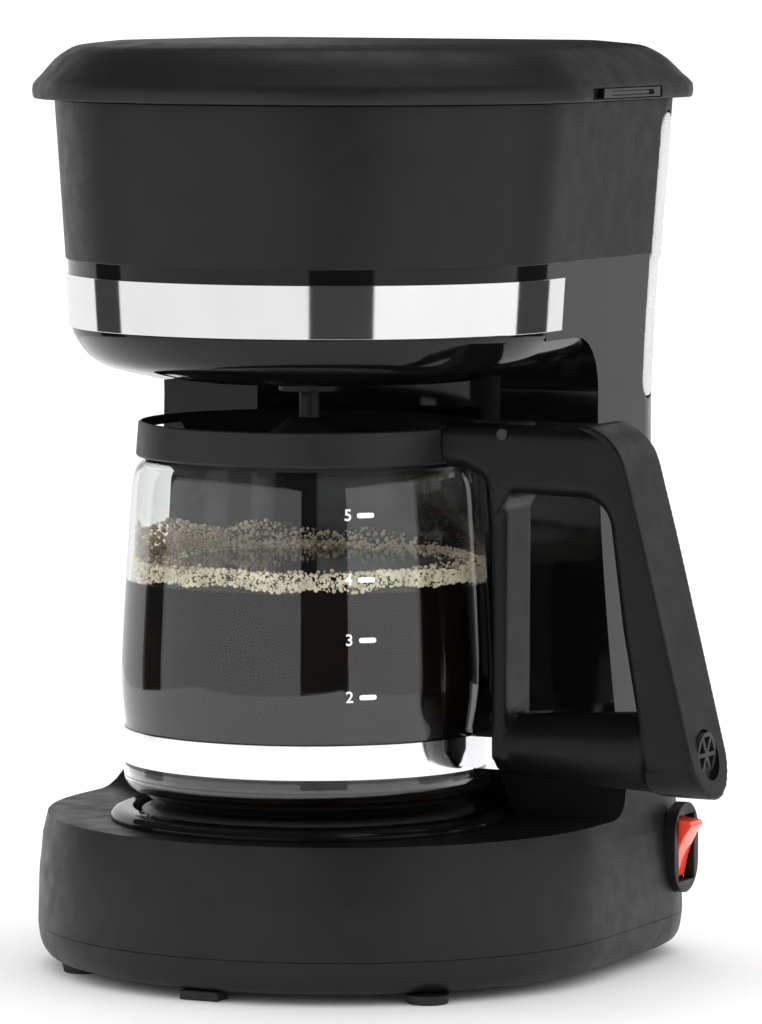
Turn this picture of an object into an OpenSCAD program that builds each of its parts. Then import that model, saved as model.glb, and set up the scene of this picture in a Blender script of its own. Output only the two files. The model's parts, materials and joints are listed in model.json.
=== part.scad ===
// Five-cup drip coffee maker. Millimetres, +Z up, origin on the counter under the carafe's centre.
// The front of the machine faces -Y and the carafe's handle points to +X.

/* [Base] */
// Half width of the base, which is also the radius of its round front
base_half_w = 87.3; // [84:0.1:105]
// How far behind the carafe's centre the round front of the base is centred
base_arc_y = 17; // [14:1:22]
// How far behind the carafe's centre the back of the base lies
base_back_y = 110.6; // [106:0.1:133]
// Radius of the two rear corners of the base
base_corner_r = 44; // [30:1:46]
// Height of the split between the bottom cover and the base shell
seam_z = 13; // [11:1:16]
// Height of the deck that surrounds the warming plate
deck_z = 45.5; // [43:0.5:56]
// Wall of the plastic shells
wall = 2.4; // [2:0.1:3]
// Height of the feet
foot_h = 2.8; // [2:0.1:4]
// Radius of a round foot
foot_r = 6.5; // [5:0.5:8]

/* [Head] */
// Clear height from the deck to the flat underside of the head
bay_h = 129; // [126:1:156]
// Height of the head from its underside to the rim of the upper shell
head_h = 80.5; // [76:0.5:97]
// Half width of the head at its rim
head_half_w = 78; // [76:0.5:88]
// Half width of the head where the upper shell starts
neck_half_w = 73.8; // [72:0.1:74]
// Half width of the column at its waist
waist_half_w = 71.6; // [70:0.1:73]
// How far behind the carafe's centre the back of the head lies
head_back_y = 105.4; // [103:0.1:110]
// Height of the lid above the rim of the upper shell
lid_h = 17; // [15:0.5:21]
// How far the lid stands out past the upper shell
lid_overhang = 6.5; // [5:0.5:8]
// Height of the bright band round the head
band_h = 15.3; // [12:0.1:18]

/* [Carafe] */
// Largest radius of the glass
carafe_r = 54.8; // [45:0.1:56]
// Height of the glass from its foot to its mouth
carafe_h = 104; // [100:0.5:106]
// Thickness of the glass
glass_t = 2.2; // [1.6:0.1:3]
// Width of the handle
handle_w = 26.4; // [22:0.2:28]
// How far the grip stands out from the carafe's centre at its lower end
grip_reach = 132; // [125:0.5:150]

/* [Brewing] */
// Inner radius of the brew basket at its rim
basket_r = 49; // [40:0.5:50]
// Depth of the brew basket
basket_depth = 58; // [48:1:59]
// Outer radius of the hot and cold water pipes
pipe_r = 4; // [3.5:0.1:4.6]
// Upward travel of the drip-stop valve
valve_travel = 5; // [4:0.1:6]

/* [Hidden] */
$fn = 96;

far = 150;                                      // reach of the slabs that cut right through the machine
fit_gap = 0.3;                                  // clearance between pieces that move past each other
slip = 0.06;                                    // running clearance of a pin in its bore
plate_z = deck_z + 3.9;                         // top of the warming plate
ring_top_z = plate_z - 0.4;                     // the ring stays below the plate, so the carafe slides off
ring_r = carafe_r + 3.2;
ring_in_r = carafe_r - 5.3;
head_z = deck_z + bay_h;                        // flat underside of the head
rim_z = head_z + head_h;
split_z = head_z + 34.3;                        // seam between the glossy housing and the upper shell
foot_seam_z = deck_z + 24.5;                    // seam between the base shell and the column housing
bowl_z = head_z + 14.5;                         // where the rounded lower edge of the head ends
head_arc_y = 7;
head_corner_r = 25;
bay_r = carafe_r + 6.2;                         // radius of the concave wall behind the carafe
bay_edge_y = 46;                                // front edge of the column's side walls
floor_z = foot_h;                               // underside of the bottom cover

// Profile of the base: height, inset from the half width
base_levels = [
  [seam_z, 0], [deck_z - 19.5, 0.3], [deck_z - 12, 1], [deck_z - 7, 4.1], [deck_z - 3.2, 7.8],
  [deck_z - 1.2, 10.7], [deck_z, 15.5]
];
cover_levels = [
  [floor_z, 7.3], [floor_z + 0.8, 3.9], [floor_z + 2.7, 1.9], [floor_z + 5.7, 0.6], [seam_z, 0]
];

// Outline of a D: round front of radius w centred at ay, straight sides, rear corners of radius r
arc_steps = 44;
corner_steps = 6;
function dee(w, ay, back, r) = concat(
  [for (i = [0:arc_steps]) let(t = 180 + 180 * i / arc_steps) [w * cos(t), ay + w * sin(t)]],
  [for (i = [0:corner_steps]) let(t = 90 * i / corner_steps)
    [w - r + r * cos(t), back - r + r * sin(t)]],
  [for (i = [0:corner_steps]) let(t = 90 + 90 * i / corner_steps)
    [r - w + r * cos(t), back - r + r * sin(t)]]
);

// Smooth curve through a list of levels, with k steps between neighbours
function between(a, b, c, d, t) = 0.5 * (2 * b + (c - a) * t + (2 * a - 5 * b + 4 * c - d) * t * t
  + (3 * b - a - 3 * c + d) * t * t * t);
function smooth(levels, k) = let(n = len(levels)) concat(
  [for (i = [0:n - 2]) for (j = [0:k - 1])
    between(levels[max(i - 1, 0)], levels[i], levels[i + 1], levels[min(i + 2, n - 1)], j / k)],
  [levels[n - 1]]
);

// The same, but straight between the last two levels
function smooth_below(levels, k) = let(n = len(levels))
  concat(smooth([for (i = [0:n - 2]) levels[i]], k), [levels[n - 1]]);

// Solid through a stack of outlines; each level is [z, half width, arc centre y, back y, corner r]
module loft(levels) {
  rings = [for (l = levels) [for (p = dee(l[1], l[2], l[3], l[4])) [p[0], p[1], l[0]]]];
  n = len(rings[0]);
  k = len(rings);
  polyhedron(
    points = [for (r = rings) for (p = r) p],
    faces = concat(
      [[for (i = [0:n - 1]) i]],
      [[for (i = [n - 1:-1:0]) (k - 1) * n + i]],
      [for (j = [0:k - 2]) for (i = [0:n - 1]) [j * n + i, (j + 1) * n + i, (j + 1) * n + (i + 1) % n]],
      [for (j = [0:k - 2]) for (i = [0:n - 1]) [j * n + i, (j + 1) * n + (i + 1) % n, j * n + (i + 1) % n]]
    )
  );
}

// Levels of the three bodies, drawn in by t for the inside of a wall
function base_stack(t, levels) = [for (l = levels)
  [l[0], base_half_w - l[1] - t, base_arc_y, base_back_y - l[1] * 0.4 - t, base_corner_r - t]];
function column_level(z, w, back, r, t) = [z, w - t, head_arc_y, back - t, r - t];
function column_stack(t) = [
  column_level(foot_seam_z, waist_half_w + 6.7, base_back_y - 2.6, base_corner_r - 8, t),
  column_level(foot_seam_z + 25, waist_half_w + 4, base_back_y - 3.9, 31, t),
  column_level(head_z - 44, waist_half_w + 1.2, head_back_y + 0.4, 27, t),
  column_level(head_z - 10, waist_half_w, head_back_y, head_corner_r, t),
  column_level(bowl_z, waist_half_w + 0.9, head_back_y, head_corner_r, t),
  column_level(split_z, neck_half_w, head_back_y, head_corner_r, t)
];
function foot_level(z, w, back, r, t) = [z, w - t, base_arc_y, back - t, r - t];
function foot_stack(t) = [
  foot_level(seam_z + 12, base_half_w - 0.6, base_back_y - 0.4, base_corner_r, t),
  foot_level(deck_z - 6, base_half_w - 1.4, base_back_y - 0.8, base_corner_r - 2, t),
  foot_level(deck_z + 6, base_half_w - 4.6, base_back_y - 1.6, base_corner_r - 4, t),
  foot_level(foot_seam_z, waist_half_w + 6.7, base_back_y - 2.6, base_corner_r - 8, t)
];
function bowl_stack(t) = [
  [head_z + t, waist_half_w - 22.6 - t, head_arc_y, 70, 20],
  [head_z + 3 + t * 0.8, waist_half_w - 9.8 - t, head_arc_y, 70, 20],
  [head_z + 6.5 + t * 0.5, waist_half_w - 3.8 - t, head_arc_y, 70, 20],
  [head_z + 12, waist_half_w + 0.2 - t, head_arc_y, 70, 20],
  [bowl_z, waist_half_w + 0.9 - t, head_arc_y, 70, 20],
  [split_z, neck_half_w - t, head_arc_y, 70, 20]
];
function shell_stack(t, up) = [
  [split_z - up, neck_half_w + 0.5 - t, head_arc_y, head_back_y + 0.3 - t, head_corner_r - t],
  [rim_z + up, head_half_w - t, head_arc_y + 1, head_back_y + 0.3 - t, head_corner_r - t]
];

module tube(r, t, h) difference() {
  cylinder(r = r, h = h);
  translate([0, 0, -1]) cylinder(r = r - t, h = h + 2);
}
module along_y(x, y, z) translate([x, y, z]) rotate([-90, 0, 0]) children();
module along_x(x, y, z) translate([x, y, z]) rotate([0, 90, 0]) children();

// Space in front of the column from z1 to z2, wider by t for the inside of the column's wall.
// Its back edge is rounded by r1 at the bottom and by r2 at the top.
module bay(z1, z2, t, r1, r2) {
  translate([0, 0, z1]) cylinder(r = bay_r + t, h = z2 - z1);
  edge = bay_edge_y + t;
  translate([-far, 0, 0]) rotate([90, 0, 90]) linear_extrude(2 * far) polygon(concat(
    [[-far, z2], [-far, z1]],
    [for (a = [0:15:90]) [edge - r1 + r1 * sin(a), z1 + r1 - r1 * cos(a)]],
    [for (a = [0:15:90]) [edge - r2 + r2 * cos(a), z2 - r2 + r2 * sin(a)]]
  ));
}
flare_r = 16;
arch_r = 17;

// ---- Base ----
screw_spots = [[-58, 40], [58, 40], [-46, 84], [46, 84]];
boss_r = 5;
screw_r = 1.7;
boss_h = 14;
module base_bosses() {
  boss_z = seam_z + 0.2;
  side = screw_spots[1];
  rear = screw_spots[3];
  rib_w = base_half_w - side[0] - boss_r - 0.7;
  for (p = screw_spots) translate([p[0], p[1], boss_z]) tube(boss_r, boss_r - screw_r, boss_h);
  for (x = [side[0] + boss_r - 0.5, -base_half_w + 1.2]) translate([x, side[1] - 1, boss_z])
    cube([rib_w, 2, boss_h]);
  for (s = [-1, 1]) translate([s * rear[0] - 1, rear[1] + boss_r - 0.5, boss_z])
    cube([2, base_back_y - rear[1] - boss_r - 0.7, boss_h]);
}

module bottom_cover() color("#1b1c1d") difference() {
  loft(smooth(base_stack(0, cover_levels), 2));
  loft([for (l = base_stack(wall, cover_levels)) [l[0] + wall, l[1], l[2], l[3], l[4]]]);
  for (p = screw_spots) translate([p[0], p[1], 0]) cylinder(r = screw_r + 0.4, h = 20);
  for (x = [-24:8:24]) translate([x - 1.5, 10, 0]) cube([3, 34, 12]);
}
deck_hole_r = carafe_r - 1.3;
switch_y = 73;
switch_z = deck_z - 12.5;
switch_face_x = base_half_w - 2.6;
bezel_sink = 1.5;
bezel_half = [9, 13.5];
module switch_hole() {
  translate([switch_face_x - 12, switch_y, switch_z]) rotate([0, 90, 0])
    linear_extrude(30) square([20.4, 12.4], center = true);
  translate([base_half_w - bezel_sink, switch_y, switch_z]) rotate([0, 90, 0])
    linear_extrude(20) bezel_outline(-0.1);
}
inlet_x = -30;
inlet_z = deck_z - 21;
inlet_r = 5.2;

module base_shell() color("#202122") difference() {
  union() {
    difference() {
      union() {
        loft(smooth(base_stack(0, base_levels), 2));
        difference() {
          loft(smooth(foot_stack(0), 2));
          bay(deck_z, foot_seam_z + 1, 0, flare_r, 0.1);
        }
      }
      loft([for (l = base_stack(wall, base_levels))
        [l[0] - wall * (l[0] > seam_z ? 1 : 2), l[1], l[2], l[3], l[4]]]);
      difference() {
        loft([for (l = foot_stack(wall)) [l[0] + (l[0] > foot_seam_z - 1 ? 1 : 0), l[1], l[2], l[3], l[4]]]);
        bay(deck_z - wall, foot_seam_z + 2, wall, flare_r, 0.1);
      }
    }
    base_bosses();
  }
  translate([0, 0, deck_z - 10]) cylinder(r = deck_hole_r, h = 20);
  switch_hole();
  along_y(inlet_x, base_back_y - 12, inlet_z) cylinder(r = inlet_r + 0.05, h = 30);
}

// ---- Column and head ----
outlet_hole_r = 12;
window_y = 84;
window_w = 10;
window_z = [head_z - 8.5, rim_z - 4];
module window_slab(g) translate([45, window_y, 0]) rotate([90, 0, 90]) linear_extrude(50) {
  translate([-window_w / 2 - g, window_z[0] + 5]) square([window_w + 2 * g, window_z[1] - window_z[0] - 10]);
  for (z = [window_z[0] + 5, window_z[1] - 5]) translate([0, z]) circle(r = window_w / 2 + g);
}

module column_housing() color("#0b0b0c") difference() {
  union() {
    difference() {
      loft(smooth_below(column_stack(0), 3));
      bay(foot_seam_z - 1, head_z + 12, 0, 0.1, arch_r);
      translate([-far, -far, foot_seam_z - 1]) cube([2 * far, far + head_arc_y, split_z]);
    }
    loft(smooth_below(bowl_stack(0), 3));
  }
  difference() {
    loft([for (l = column_stack(wall))
      [l[0] + (l[0] > split_z - 1 ? 1 : l[0] < foot_seam_z + 1 ? -1 : 0), l[1], l[2], l[3], l[4]]]);
    bay(foot_seam_z - 2, head_z + 12 + wall, wall, 0.1, arch_r + wall);
    translate([-far, -far, foot_seam_z - 2]) cube([2 * far, far + head_arc_y - 1, split_z]);
  }
  loft([for (l = bowl_stack(wall)) [l[0] + (l[0] > split_z - 1 ? 1 : 0), l[1], l[2], l[3], l[4]]]);
  translate([0, 0, head_z - 5]) cylinder(r = outlet_hole_r, h = 12);
  window_slab(0.4);
}

module upper_shell() color("#242526") difference() {
  loft(shell_stack(0, 0));
  loft(shell_stack(wall, 1));
  window_slab(0.4);
  translate([-far, hinge_y - 4, rim_z - relief_h]) cube([2 * far, 20, 20]);
}

band_z = [bowl_z + 0.2, bowl_z + 0.2 + band_h];
function head_w_at(z) = let(low = waist_half_w + 0.9)
  low + (neck_half_w - low) * (z - bowl_z) / (split_z - bowl_z);
function band_level(z, g) = [z, head_w_at(z) + g, head_arc_y, 70, 20];
band_end_y = 16;
module head_trim_band() color("#d9dadc") difference() {
  loft([band_level(band_z[0], 0.8), band_level(band_z[1], 0.8)]);
  loft([band_level(band_z[0] - 1, 0.02), band_level(band_z[1] + 1, 0.02)]);
  translate([-far, band_end_y, 0]) cube([2 * far, far, 2 * far]);
}

// ---- Brewing parts inside the head ----
basket_rim_z = rim_z - 14;
basket_floor_z = basket_rim_z - basket_depth;
basket_low_r = basket_r - 13;
basket_wall = 1.8;
basket_lip = 1;
chamber_r = basket_r + basket_wall + basket_lip + fit_gap;
chamber_low_r = basket_low_r + basket_wall + 4 * fit_gap;
deck_plate_z = basket_rim_z + 3;
deck_plate_t = 2;
tank_x = [-44, head_half_w - 15];
tank_y = [bay_r + wall + 2, head_back_y - wall - 1.4];
tank_z = [head_z - 8, deck_plate_z - 0.2];
tank_t = 1.8;
riser_x = -waist_half_w + 17;
riser_y = 80;
hose_x = 30;
hose_y = 82;

module hinge_posts() for (s = [-1, 1]) translate([s * post_x - post_w / 2, 0, 0]) rotate([90, 0, 90])
  linear_extrude(post_w) difference() {
    union() {
      translate([hinge_y, hinge_z]) circle(r = post_r);
      translate([hinge_y - 4.4, deck_plate_z]) square([4.2, hinge_z - deck_plate_z]);
    }
    translate([hinge_y, hinge_z]) circle(r = pin_r + 0.01);
  }
module inner_deck() color("#1d1e1f") difference() {
  union() {
    translate([0, 0, deck_plate_z]) linear_extrude(deck_plate_t)
      polygon(dee(neck_half_w - wall + 0.9, head_arc_y, head_back_y - wall - 0.2, head_corner_r - wall));
    hinge_posts();
  }
  translate([0, 0, deck_plate_z - 1]) cylinder(r = chamber_r, h = 5);
  translate([tank_x[0] + 4, tank_y[0] + 4, deck_plate_z - 1])
    cube([tank_x[1] - tank_x[0] - 8, tank_y[1] - tank_y[0] - 8, 5]);
  translate([riser_x, riser_y, deck_plate_z - 1]) cylinder(r = pipe_r + 0.3, h = 5);
}

chamber_t = 1.8;
chamber_z = head_z + wall + 0.5;
ledge_r = basket_r + basket_wall + fit_gap;
module brew_chamber() color("#18191a") rotate_extrude() polygon([
  [outlet_hole_r - 0.4, chamber_z], [chamber_low_r + chamber_t, chamber_z],
  [chamber_r + chamber_t, basket_rim_z - 9], [chamber_r + chamber_t, deck_plate_z - 0.2],
  [chamber_r, deck_plate_z - 0.2], [chamber_r, basket_rim_z - 2.1], [ledge_r, basket_rim_z - 2.1],
  [ledge_r, basket_rim_z - 5], [chamber_low_r, chamber_z + chamber_t + 0.4],
  [outlet_hole_r - 0.4, chamber_z + chamber_t + 0.4]
]);

module reservoir_tank() color("#3a3c3f", 0.9) difference() {
  translate([tank_x[0], tank_y[0], tank_z[0]]) linear_extrude(tank_z[1] - tank_z[0])
    tank_outline(tank_x[1] - tank_x[0], tank_y[1] - tank_y[0], 0);
  translate([tank_x[0], tank_y[0], tank_z[0] + tank_t]) linear_extrude(far)
    tank_outline(tank_x[1] - tank_x[0], tank_y[1] - tank_y[0], tank_t);
  translate([hose_x, hose_y, tank_z[0] - 1]) cylinder(r = pipe_r + 1, h = 5);
}
module tank_outline(w, d, t) union() {
  translate([t, t]) square([w - 2 * t, d - 18]);
  translate([t + 6, t]) square([w - 24 - 2 * t, d - 2 * t]);
  translate([t + 6, d - t - 6]) circle(r = 6);
  translate([t, t]) square([6, d - 2 * t - 6]);
  translate([w - 18, d - 18]) circle(r = 18 - t);
}

module water_window() color("#c9ccce", 0.6) intersection() {
  difference() {
    union() {
      loft(shell_stack(-0.2, 1));
      loft(smooth_below(column_stack(-0.2), 3));
    }
    loft(shell_stack(1.6, 1));
    loft([for (l = smooth_below(column_stack(1.6), 3))
      [l[0] + (l[0] > split_z - 1 ? 1 : l[0] < foot_seam_z + 1 ? -1 : 0), l[1], l[2], l[3], l[4]]]);
  }
  window_slab(0);
}
module window_gasket() color("#0d0d0d") translate([tank_x[1] + 0.1, window_y - 5, window_z[0] + 8])
  difference() {
    cube([2, 10, window_z[1] - window_z[0] - 24]);
    translate([-1, 2, 2]) cube([4, 6, window_z[1] - window_z[0] - 28]);
  }

// ---- Lid ----
hinge_y = head_back_y - 2.4;
hinge_z = rim_z + 2.5;
pin_r = 1.2;
post_r = 2.2;
post_w = 6;
post_x = 46;
relief_h = 2;                                   // the back wall is cut down by this to let the lid swing
lid_levels = [
  [rim_z + 0.3, 0.6], [rim_z + 0.9, 0], [rim_z + 4.4, 0], [rim_z + 7.3, 2.6], [rim_z + 11.6, 6.3],
  [rim_z + 14.3, 10], [rim_z + 15.7, 13.2], [rim_z + lid_h - 0.6, 18.4], [rim_z + lid_h, 24]
];
lid_half_w = head_half_w + lid_overhang;
function lid_stack(t) = [for (l = lid_levels)
  [l[0] - (t > 0 ? t * 0.9 + (l[0] < rim_z + 1 ? 2 : 0) : 0), lid_half_w - l[1] - t, head_arc_y + 1.4,
    head_back_y - l[1] - t, head_corner_r - l[1] * 0.4 - t]];
lug_x = [post_x + 5.4, post_x - 5.4];
module lid_lugs() for (s = [-1, 1], x = lug_x)
  translate([s * x - 2, 0, 0]) rotate([90, 0, 90]) linear_extrude(4) {
    translate([hinge_y, hinge_z]) circle(r = post_r + 0.1);
    translate([hinge_y - post_r, hinge_z]) square([2 * post_r, 12]);
  }
module top_lid() color("#232425") difference() {
  union() {
    difference() {
      loft(smooth(lid_stack(0), 2));
      loft(lid_stack(wall));
      translate([lid_half_w - 2.2, 12, rim_z + 0.8]) cube([10, 50, 3.4]);
    }
    intersection() {
      lid_lugs();
      loft(lid_stack(0.3));
    }
  }
  for (s = [-1, 1]) {
    along_x(s * post_x, hinge_y, hinge_z) cylinder(r = pin_r + slip, h = 20, center = true);
    along_x(s * post_x, hinge_y, hinge_z) cylinder(r = post_r + 0.4, h = post_w + 0.6, center = true);
    translate([s * post_x - post_w / 2 - fit_gap, hinge_y - 5, rim_z - 1])
      cube([post_w + 2 * fit_gap, 20, hinge_z - rim_z + 1]);
  }
}
module lid_hinge_pins() color("#9a9ca0") for (s = [-1, 1]) along_x(s * post_x, hinge_y, hinge_z)
  cylinder(r = pin_r, h = 18, center = true);
module lid_side_catch() color("#1a1b1c") translate([lid_half_w - 2, 20, rim_z + 1.1]) difference() {
  cube([2, 41, 2.8]);
  translate([1.2, 6, 0.7]) cube([2, 30, 1.4]);
}

// ---- Basket and drip stop ----
spout_r = 9;
valve_floor_z = head_z - 4;
valve_lift = 2;
stem_r = 3;
module brew_basket() color("#2b2c2e") difference() {
  union() {
    rotate_extrude() polygon([
      [stem_r + 0.5, valve_floor_z], [spout_r, valve_floor_z], [spout_r, basket_floor_z],
      [basket_low_r + basket_wall - 3, basket_floor_z], [basket_low_r + basket_wall, basket_floor_z + 3],
      [basket_r + basket_wall, basket_rim_z - 2], [basket_r + basket_wall + basket_lip, basket_rim_z - 2],
      [basket_r + basket_wall + basket_lip, basket_rim_z], [basket_r, basket_rim_z],
      [basket_low_r, basket_floor_z + basket_wall + 2], [basket_low_r - 2, basket_floor_z + basket_wall],
      [spout_r - 2, basket_floor_z + basket_wall], [spout_r - 2, valve_floor_z + 1.6],
      [stem_r + 0.5, valve_floor_z + 1.6]
    ]);
    for (a = [0:30:330]) rotate(a) translate([basket_low_r - 7, -0.8, basket_floor_z + 1])
      cube([6.2, 1.6, basket_depth * 0.35]);
    for (a = [0:30:330]) rotate(a) translate([spout_r + 3, -0.8, basket_floor_z + 1])
      cube([basket_low_r - spout_r - 6, 1.6, 3]);
  }
  translate([0, 0, valve_floor_z - 1]) cylinder(r = stem_r + 0.5, h = 8);
}
cap_h = valve_travel - 1.8;
cap_z = basket_floor_z + basket_wall + cap_h;
module basket_cap() color("#303234") translate([0, 0, basket_floor_z + basket_wall]) difference() {
  union() {
    tube(spout_r + 1.6, 1.4, cap_h + 1.6);
    translate([0, 0, cap_h]) cylinder(r = spout_r + 1.6, h = 1.6);
  }
  translate([0, 0, -1]) cylinder(r = 2.1, h = 10);
  for (a = [0:45:315]) rotate(a) translate([spout_r + 0.9, 0, 1.2]) cube([4, 2, 2.2], center = true);
  for (a = [0:60:300]) rotate(a) translate([5.6, 0, 2]) cylinder(r = 1.1, h = 6);
}
tip_gap = 0.4;
flange_z = valve_floor_z + 1.6 + valve_lift;
module drip_valve() color("#2a2b2c") difference() {
  union() {
    translate([0, 0, hub_z + tip_gap]) cylinder(r = stem_r, h = flange_z - hub_z - tip_gap);
    translate([0, 0, flange_z]) cylinder(r = spout_r - 2.6, h = 1.6);
    translate([0, 0, flange_z + 1.6]) cylinder(r = 1.6, h = cap_z - flange_z + 3);
  }
  for (a = [0:90:270]) rotate(a) translate([stem_r, 0, flange_z - 5]) cylinder(r = 0.9, h = 5);
}
module valve_seal() color("#c8c8c4") translate([0, 0, flange_z - 1]) tube(spout_r - 2.8, 3.1, 0.98);
spring_z = [flange_z + 1.8, cap_z - 0.3];
module valve_spring() color("#b9bbbf") sweep_coil(3.1, 0.35, spring_z[0] + 0.4, spring_z[1] - 0.4, 5);

// Round wire wound into a coil of radius r, from z1 to z2
module sweep_coil(r, wire, z1, z2, turns) {
  steps = turns * 16;
  sides = 6;
  pts = [for (i = [0:steps]) for (j = [0:sides - 1]) let(
    t = 360 * turns * i / steps, u = 360 * j / sides, q = r + wire * cos(u))
    [q * cos(t), q * sin(t), z1 + (z2 - z1) * i / steps + wire * sin(u)]];
  polyhedron(points = pts, faces = concat(
    [[for (j = [0:sides - 1]) j]],
    [[for (j = [sides - 1:-1:0]) steps * sides + j]],
    [for (i = [0:steps - 1]) for (j = [0:sides - 1])
      [i * sides + j, (i + 1) * sides + j, (i + 1) * sides + (j + 1) % sides]],
    [for (i = [0:steps - 1]) for (j = [0:sides - 1])
      [i * sides + j, (i + 1) * sides + (j + 1) % sides, i * sides + (j + 1) % sides]]
  ));
}

// ---- Water path ----
heat_r = min(31, ring_in_r - 11.9);             // stays inside the gasket of a small plate
heat_z = plate_z - 11.5;
arm_z = rim_z - 3;
riser_low_z = heat_z + 22;
module riser_pipe() color("#a9abae") translate([riser_x, riser_y, riser_low_z])
  tube(pipe_r, 1, arm_z - 4.4 - riser_low_z);
arm_len = sqrt(riser_x * riser_x + riser_y * riser_y);
arm_bore_r = pipe_r - 1.8;
drop_bore_r = pipe_r - 1;
module spray_arm() color("#e6e6e2") difference() {
  union() {
    translate([riser_x, riser_y, arm_z - 4.2]) cylinder(r = pipe_r + 1.2, h = 8.4);
    translate([riser_x, riser_y, arm_z]) rotate([0, 90, atan2(-riser_y, -riser_x)])
      cylinder(r = pipe_r - 0.4, h = arm_len);
    translate([0, 0, arm_z - 4.2]) cylinder(r = pipe_r + 1, h = 8.2);
  }
  translate([riser_x, riser_y, arm_z]) rotate([0, 90, atan2(-riser_y, -riser_x)])
    cylinder(r = arm_bore_r, h = arm_len);
  translate([riser_x, riser_y, arm_z - 5]) cylinder(r = drop_bore_r, h = 7.6);
  translate([0, 0, arm_z - 5]) cylinder(r = drop_bore_r, h = 7.4);
}
module shower_head() color("#d8d8d4") translate([0, 0, arm_z - 7.2]) difference() {
  union() {
    cylinder(r = 15, h = 1.4);
    tube(15, 1.2, 2.9);
  }
  for (a = [0:30:330]) rotate(a) translate([10.5, 0, -1]) cylinder(r = 1, h = 4);
  for (a = [0:60:300]) rotate(a) translate([5, 0, -1]) cylinder(r = 1, h = 4);
}
module outlet_fitting() color("#e0e0dc") translate([hose_x, hose_y, 0]) difference() {
  union() {
    translate([0, 0, tank_z[0] - 12]) cylinder(r = pipe_r, h = 14);
    translate([0, 0, tank_z[0] + tank_t + 0.02]) cylinder(r = pipe_r + 3, h = 1.4);
    translate([0, 0, tank_z[0] - 1.6]) cylinder(r = pipe_r + 3, h = 1.5);
  }
  translate([0, 0, tank_z[0] - 13]) cylinder(r = pipe_r - 1.3, h = 20);
}
valve_low_z = tank_z[0] - 34;
ball_r = 2.2;
module check_valve_body() color("#d5d6d2") translate([hose_x, hose_y, valve_low_z]) difference() {
  cylinder(r = pipe_r + 1.4, h = 20);
  translate([0, 0, -1]) cylinder(r = 1.4, h = 30);
  translate([0, 0, 4]) cylinder(r = ball_r + 0.6, h = 9);
  translate([0, 0, 13 - 0.01]) cylinder(r = pipe_r + 0.05, h = 10);
}
module check_ball() color("#b33a32") translate([hose_x, hose_y, valve_low_z + 4.3 + ball_r])
  sphere(r = ball_r);
module cold_hose() color("#dfe0dc") {
  translate([hose_x, hose_y, heat_z + 22]) tube(pipe_r, 1.3, valve_low_z - heat_z - 22 - 0.1);
  hose_bend(hose_x, hose_y, 1);
}
module hot_hose() color("#dfe0dc") hose_bend(riser_x, riser_y, 0);
// Elbow that drops from a vertical pipe and turns forward to the heater at height heat_z
bend_r = 14;
module hose_bend(x, y, full) {
  translate([x, y - bend_r, heat_z + bend_r]) rotate([90, 0, 90]) rotate_extrude(angle = -90)
    translate([bend_r, 0]) difference() {
      circle(r = pipe_r);
      circle(r = pipe_r - 1.3);
    }
  translate([x, y, heat_z + bend_r]) tube(pipe_r, 1.3, 8 - (1 - full) * 0.1);
  along_y(x, heat_end_y, heat_z) tube(pipe_r, 1.3, y - bend_r - heat_end_y);
}
heat_end_y = 45;
module hose_clamps() color("#8f9296") {
  for (p = [[hose_x, hose_y, tank_z[0] - 11], [riser_x, riser_y, riser_low_z - 4]])
    translate([p[0], p[1], p[2]]) tube(pipe_r + (p[0] > 0 ? 2.2 : 1), p[0] > 0 ? 2.14 : 0.94, 3);
  for (x = [hose_x, riser_x]) along_y(x, 47, heat_z) tube(pipe_r + 0.9, 0.85, 4);
}

// ---- Heater ----
heat_half = [9, 4.6];
rod_r = 2.6;
rod_in = 4.4;
module heat_turn() rotate([0, 0, 128]) rotate_extrude(angle = 284) children();
module heater_body() color("#b4b6ba") difference() {
  union() {
    heat_turn() translate([heat_r, heat_z + 1.2])
      square([2 * heat_half[0], 2 * heat_half[1]], center = true);
    along_y(hose_x, 20, heat_z) cylinder(r = pipe_r - 1.4, h = 33);
  }
  heat_turn() translate([heat_r + 4, heat_z]) circle(r = 2.4);
  heat_turn() translate([heat_r - rod_in, heat_z]) circle(r = rod_r + 0.1);
  along_y(hose_x, 19, heat_z) cylinder(r = 1.6, h = 40);
}
module heating_rod() color("#7c6f63") {
  rotate([0, 0, 124]) rotate_extrude(angle = 292) translate([heat_r - rod_in, heat_z]) circle(r = rod_r);
}
bracket_z = heat_z - 3.7;
module heater_bracket() color("#9da0a4") translate([0, 0, bracket_z - 1.4]) difference() {
  translate([-42, -7, 0]) cube([84, 14, 1.2]);
  translate([0, 0, -1]) cylinder(r = 2.1, h = 5);
}
module bracket_screw() color("#c3c5c9") {
  translate([0, 0, bracket_z - 1.6]) cylinder(r = 2, h = plate_z - 1 - bracket_z + 1.5);
  translate([0, 0, bracket_z - 4]) cylinder(r = 4, h = 2.5, $fn = 6);
}
plate_r = ring_in_r - 0.6;
module warming_plate() color("#2a2a2b") rotate_extrude() polygon([
  [0, plate_z - 0.8], [plate_r - 4, plate_z - 0.8], [plate_r - 0.8, plate_z - 2],
  [plate_r - 0.8, plate_z - 4.4],
  [plate_r, plate_z - 4.4], [plate_r, plate_z - 1.4], [plate_r - 3, plate_z], [0, plate_z]
]);
module plate_gasket() color("#101010") translate([0, 0, deck_z - 3.2]) tube(plate_r + 1.6, 3.4, 2.6);
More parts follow.
